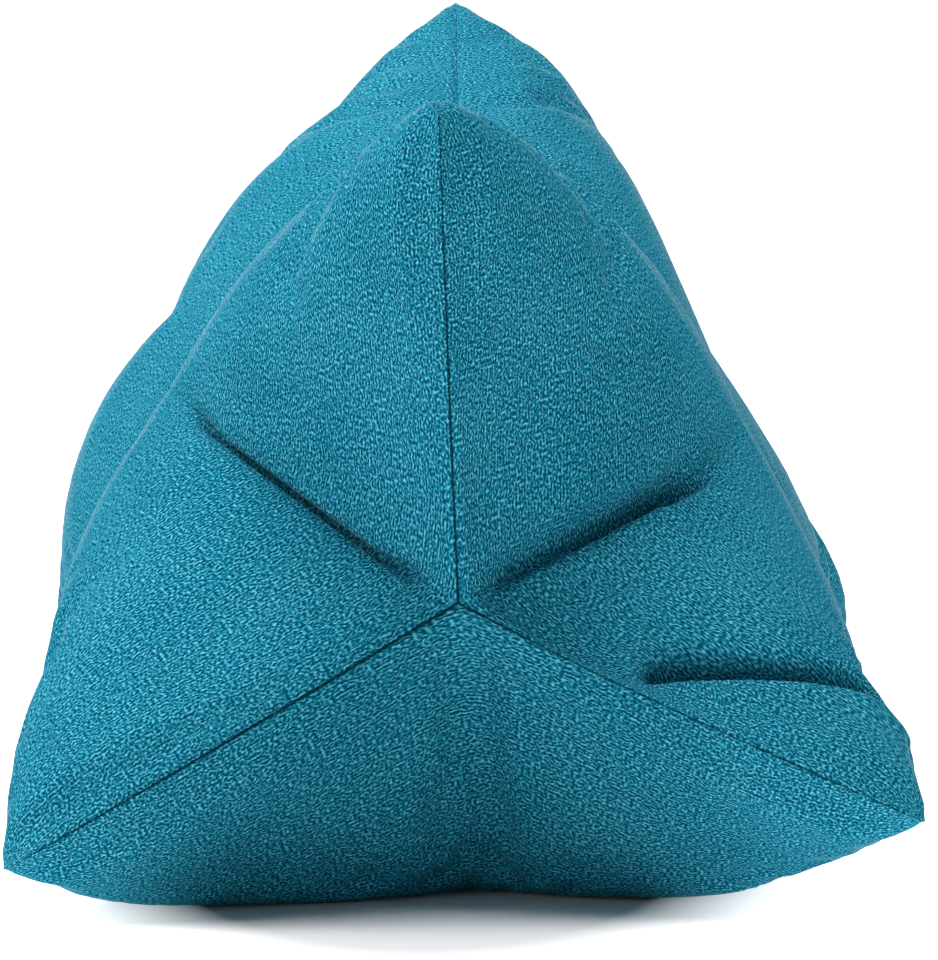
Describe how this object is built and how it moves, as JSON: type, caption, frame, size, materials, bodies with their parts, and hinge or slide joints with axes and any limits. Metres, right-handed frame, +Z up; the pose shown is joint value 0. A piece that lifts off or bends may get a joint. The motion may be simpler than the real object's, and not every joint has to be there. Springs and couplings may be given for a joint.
{
  "type": "neck roll pillow",
  "caption": "Plump bone-shaped neck roll pillow with a narrowed middle and pointed seam ears, in turquoise crinkled cloth.",
  "frame": {"origin": "on the surface the pillow lies on, below the middle of its outline", "axes": "+Y along the pillow from the near end to the far end, +Z up, +X to the right as seen from the near end"},
  "size_m": [0.2122, 0.4234, 0.1904],
  "materials": {
    "cloth": "matt crinkled weave"
  },
  "bodies": {
    "root": {"pillow": "cloth"}
  },
  "joints": []
}
